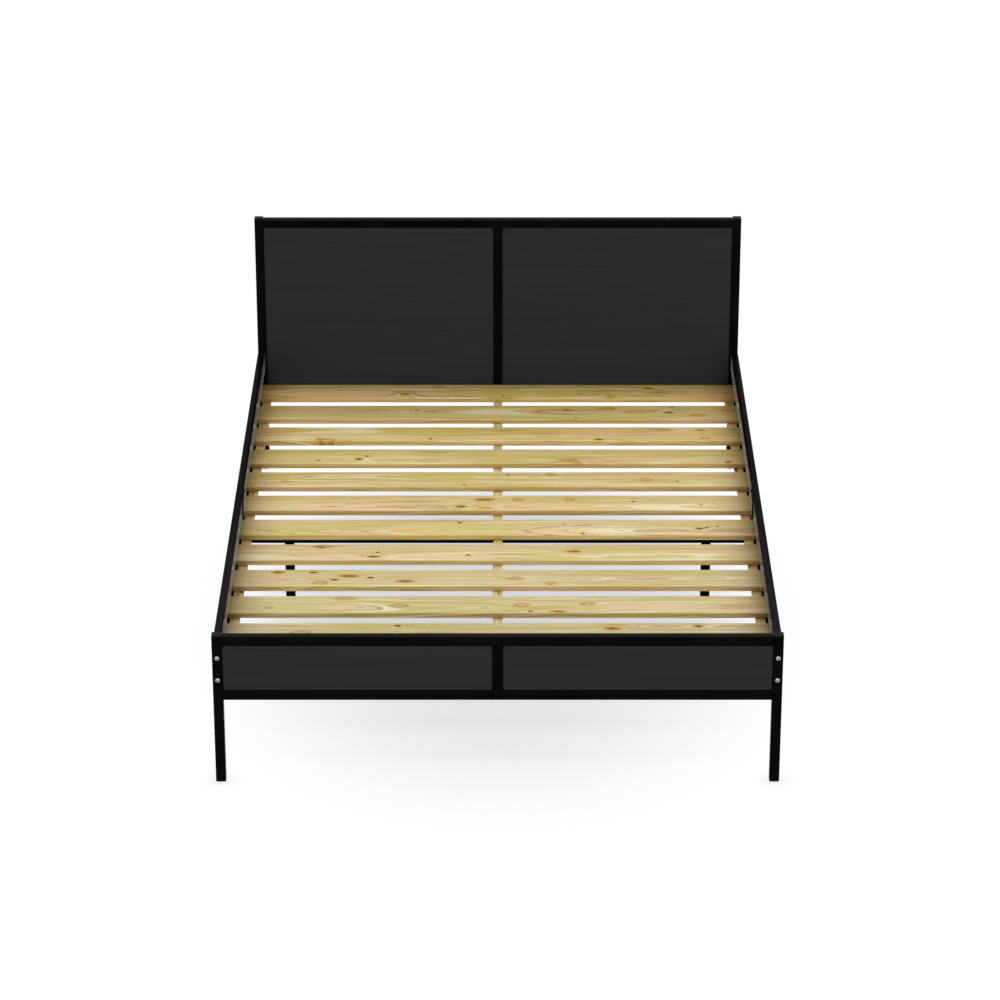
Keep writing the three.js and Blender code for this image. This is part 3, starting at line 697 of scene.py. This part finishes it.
def darken_sides_and_shade(tree, colour, along, length, piece):
    # Faces that do not look up or down are made darker and browner, by their direction alone.
    upright = split(tree, add_node(tree, "ShaderNodeNewGeometry").outputs["Normal"])["Z"]
    side = fall(tree, calc(tree, "ABSOLUTE", upright), *SIDE_EDGES)
    colour = blend(tree, side, colour, SIDE_FACE_TINT, "MULTIPLY")
    # Painted shade from the rails and boards at the ends: the last hand's breadth is darker and
    # browner.
    from_end = calc(tree, "SUBTRACT", length / 2, calc(tree, "ABSOLUTE", along))
    colour = blend(tree, fall(tree, from_end, *END_SHADE_FADE), colour, END_PAINTED_SHADE, "MULTIPLY")
    # Painted shade in corners, where little sky reaches close by.
    corner_shade = fall(tree, open_sky(tree, CORNER_REACH, samples=4), *CORNER_SHADE_EDGES)
    share = CORNER_SHADE_ON_MIDDLE_BATTEN if piece == "batten_centre" else 1.0
    return blend(tree, calc(tree, "MULTIPLY", corner_shade, share), colour, CORNER_PAINTED_SHADE, "MULTIPLY")


print("ends are brown over", END_SHADE_FADE[1] * 100, "cm")

# %% [markdown]
# ## One pine board
#
# Now the parts come together, in the order in which a board comes to be: branches, rings,
# colours, the fine fibres that run along everything, and last the darker sides and the painted
# shade. The noises of each board are read at their own far place, so that no two boards share a
# pattern. Knots are duller than the wood round them, and the bump is the fibres with the late wood
# standing a little proud.

# %% Pine
PINE_SHINE, PINE_ROUGHNESS = 0.38, (0.36, 0.56)
KNOT_DULLNESS = 0.50
FIBRE_WAVES, FIBRE_SHADES = (10.0, 760.0, 760.0), (0.75, 1.25)
FIBRE_HEIGHT, LATE_HEIGHT = 0.7, 0.5
PINE_DEPTH = 0.00018
FIRST_SEED = 20


def make_pine(piece, seed):
    draw = random.Random(seed)
    material, tree, shader, place = start_finish("pine_" + piece, PINE_SHINE)
    own, centre, length, width = board_axes(tree, place, piece)
    shift = tuple(draw.uniform(-FARTHEST, FARTHEST) for _ in range(3))
    shifted = vector_calc(tree, "ADD", own, shift)
    push, core, rim, halo = add_knots(tree, own, shifted, pick_knots(draw, length, width))
    radius = ring_radius(tree, own, shifted, push, draw)
    along = split(tree, own)["X"]
    late = late_wood(tree, along, radius, shift)
    colour = year_colours(tree, along, radius, late, draw)
    colour = branch_colours(tree, colour, core, rim, halo)
    colour = blend(tree, 1.0, colour, board_tint(centre, draw), "MULTIPLY")
    fibre = long_noise(tree, shifted, FIBRE_WAVES, detail=3.0)
    veil = between(tree, fibre, *FIBRE_SHADES)
    veil = add_node(tree, "ShaderNodeCombineColor", {0: veil, 1: veil, 2: veil}).outputs[0]
    colour = blend(tree, 1.0, colour, veil, "MULTIPLY")
    colour = darken_sides_and_shade(tree, colour, along, length, piece)
    rough = between(tree, fibre, *PINE_ROUGHNESS)
    rough = calc(tree, "MULTIPLY_ADD", core, KNOT_DULLNESS, rough)
    late_height = calc(tree, "MULTIPLY", late, LATE_HEIGHT)
    height = calc(tree, "MULTIPLY_ADD", fibre, FIBRE_HEIGHT, late_height)
    wire_finish(tree, shader, colour, rough, height, PINE_DEPTH)
    return material


pine_pieces = sorted(name for name in nodes if name.startswith(("slat_", "batten_")))
pine = {name: make_pine(name, seed) for seed, name in enumerate(pine_pieces, FIRST_SEED)}
print("pine boards:", len(pine))

# %% [markdown]
# ## Dress the bed
#
# Every piece keeps the slot it came with, and the slot gets the detailed finish that belongs to
# it. The boards of the deck and the side rails have finishes of their own.

# %% Hand out the finishes
FINISH_OF_SLOT = {
    "black_paint": powder_coat,
    "dark_board": board,
    "black_plastic": plastic,
    "zinc_steel": zinc,
}
for row in frame["record"]["subparts"]:
    name = row["node"]
    finish = pine.get(name) or FINISH_OF_SLOT[row["material_slot"]]
    if name.startswith("side_rail_"):
        finish = rail_coat
    nodes[name].material_slots[0].material = finish

# %% [markdown]
# ## A dark bead behind each panel
#
# The panels sit loose in their openings, and a fine line of daylight would show all round them.
# A bead of black plastic behind each opening closes it: a dark piece that stands in for the shade
# of a tight joint. The bead is a small hollow-sided section carried once round the opening, so its
# four corners are mitred and it is one closed ring.

# %% Dark bead in the panel gaps, as painted shade
BEAD_SIDE = 0.0030
BEAD_STEPS = 5
PANEL_GAP = 0.0003
BEAD_CLEAR = 0.00001
PANEL_CORNERS = ((-1, -1), (1, -1), (1, 1), (-1, 1))


def bead_section():
    """Points of the section: distance in from the tube, height over the panel's back."""
    points = [(0.0, 0.0)]
    for step in range(BEAD_STEPS + 1):
        angle = step / BEAD_STEPS * math.pi / 2
        points.append((BEAD_SIDE * (1 - math.cos(angle)), BEAD_SIDE * (1 - math.sin(angle))))
    return points


def bead_mesh(name, panel):
    corner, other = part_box(panel)
    section = bead_section()
    grow = PANEL_GAP - BEAD_CLEAR
    points = []
    for x_side, z_side in PANEL_CORNERS:
        x_end = (corner if x_side < 0 else other).x + x_side * grow
        z_end = (corner if z_side < 0 else other).z + z_side * grow
        for inward, height in section:
            y = other.y + BEAD_CLEAR + height
            points.append((x_end - x_side * inward, y, z_end - z_side * inward))
    count = len(section)
    faces = []
    for start in range(0, len(points), count):
        following = (start + count) % len(points)
        for i in range(count):
            j = (i + 1) % count
            faces.append((start + i, following + i, following + j, start + j))
    mesh = bpy.data.meshes.new(name)
    mesh.from_pydata(points, [], faces)
    mesh.materials.append(plastic)
    return mesh


panels = sorted(name for name in nodes if "_panel_" in name)
for panel in panels:
    # A dark bead that stands in for the shade in the joint round each panel.
    name = "shade_bead_" + panel
    bead = add_object(name, bead_mesh(name, panel))
    soften(bead)
    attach(bead, "root")
print("beads of sealant:", len(panels))

# %% [markdown]
# ## A pale floor
#
# The bed stands on a seamless white floor. A floor that only reflects light would turn grey
# wherever the lamps are weak, so for the camera and for reflections it also gives off a little
# light of its own, and the bed's soft shadow is what is left of the rest. Far from the bed it
# fades to plain white and meets the white of the world without a line, and only close round a
# foot that stands there a little contact shadow is painted into the white. The light that lights
# the bed from below sees a plain grey floor instead, so that the glow does not reach the wood.

# %% Floor
FLOOR_SIDE = 400.0
FLOOR_TINT = (0.592, 0.612, 0.672, 1.0)
FLOOR_GLOW, GLOW_LEVEL = (0.935, 0.965, 1.0, 1.0), 0.50
FLOOR_BOUNCE = grey(0.50)
SHADOW_HALF_SIZE = (0.80, 1.15)
SHADOW_FADE = (0.50, 1.15)
PAINTED_CONTACT_SHADOW, CONTACT_REACH = grey(0.70), 0.05


def seen_directly(tree):
    """1 for rays from the camera, from a mirror or through glass, else 0."""
    path = add_node(tree, "ShaderNodeLightPath").outputs
    seen = calc(tree, "MAXIMUM", path["Is Camera Ray"], path["Is Glossy Ray"])
    return calc(tree, "MAXIMUM", seen, path["Is Transmission Ray"])


def choose(tree, share, first, second):
    return add_node(tree, "ShaderNodeMixShader", {0: share, 1: first, 2: second}).outputs[0]


def make_floor_finish(name):
    material, tree = empty_material(name)
    soft = add_node(tree, "ShaderNodeBsdfDiffuse", {"Color": FLOOR_TINT}).outputs[0]
    inputs = {"Color": FLOOR_GLOW, "Strength": GLOW_LEVEL}
    glow = add_node(tree, "ShaderNodeEmission", inputs).outputs[0]
    lit = add_node(tree, "ShaderNodeAddShader", {0: soft, 1: glow}).outputs[0]
    # Painted contact shadow: the white paper is darkened where little sky reaches close by.
    painted_contact_shadow = blend(tree, open_sky(tree, CONTACT_REACH), PAINTED_CONTACT_SHADOW, grey(1.0))
    inputs = {"Color": painted_contact_shadow, "Strength": 1.0}
    paper = add_node(tree, "ShaderNodeEmission", inputs).outputs[0]
    place = add_node(tree, "ShaderNodeTexCoord").outputs["Object"]
    across, along = SHADOW_HALF_SIZE
    away = vector_length(tree, stretched(tree, place, (1 / across, 1 / along, 1.0)))
    shown = choose(tree, ramp(tree, away, *SHADOW_FADE), lit, paper)
    bounce = add_node(tree, "ShaderNodeBsdfDiffuse", {"Color": FLOOR_BOUNCE}).outputs[0]
    chosen = choose(tree, seen_directly(tree), bounce, shown)
    add_node(tree, "ShaderNodeOutputMaterial", {"Surface": chosen})
    return material


half = FLOOR_SIDE / 2
corners = [(-half, -half, 0.0), (half, -half, 0.0), (half, half, 0.0), (-half, half, 0.0)]
floor_mesh = bpy.data.meshes.new("floor")
floor_mesh.from_pydata(corners, [], [(0, 1, 2, 3)])
floor_mesh.materials.append(make_floor_finish("studio_floor"))
floor = add_object("floor", floor_mesh)
floor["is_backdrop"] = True
print("floor:", FLOOR_SIDE, "m square")

# %% [markdown]
# ## A soft studio
#
# The light is an even sky, a large soft key lamp and a fill. The key hangs over the head end, so
# the headboard shades the slats next to it. The fill comes low from the foot end like a far wide
# window, so it falls on headboard and footboard alike. Together they light the deck at a level
# at which wood shows its own colour. The camera and reflections see the world as plain white
# paper.

# %% Sky and lamps
SKY_TINT, SKY_LEVEL = (0.97, 0.985, 1.0, 1.0), 0.50
KEY_PLACE = Vector((0.0, 2.4, 3.8))
KEY_AIM = Vector((0.0, 0.0, 0.3))
KEY_SIDE = 4.5
KEY_WATTS = 124.0
FILL_HEIGHT = math.radians(20)
FILL_SPREAD = math.radians(22)
FILL_STRENGTH = 1.45

world = bpy.data.worlds.new("studio")
world.use_nodes = True
tree = world.node_tree
tree.nodes.clear()
inputs = {"Color": grey(1.0), "Strength": 1.0}
paper = add_node(tree, "ShaderNodeBackground", inputs).outputs[0]
inputs = {"Color": SKY_TINT, "Strength": SKY_LEVEL}
sky = add_node(tree, "ShaderNodeBackground", inputs).outputs[0]
chosen = choose(tree, seen_directly(tree), sky, paper)
add_node(tree, "ShaderNodeOutputWorld", {"Surface": chosen})
bpy.context.scene.world = world

key = add_object("key", bpy.data.lights.new("key", "AREA"))
key.data.shape = "SQUARE"
key.data.size = KEY_SIDE
key.data.energy = KEY_WATTS
key.visible_camera = False
stand_and_aim(key, KEY_PLACE, KEY_AIM)

fill = add_object("fill", bpy.data.lights.new("fill", "SUN"))
fill.data.energy = FILL_STRENGTH
fill.data.angle = FILL_SPREAD
fill.rotation_euler = (math.pi / 2 - FILL_HEIGHT, 0.0, 0.0)
bpy.context.scene.view_settings.view_transform = "Standard"
print("sky", SKY_LEVEL, "key", KEY_WATTS, "W, fill", FILL_STRENGTH, "W per square metre")

# %% [markdown]
# ## Measure and finish
#
# Finishes must not change the size of the bed, so its box is measured again and the difference
# from the one at the start is printed.

# %% Sizes
visual_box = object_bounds()
grown = max(abs(a - b) for one, two in zip(cad_box, visual_box) for a, b in zip(one, two))
print("the visual box differs by", round(grown * 1000, 3), "mm")
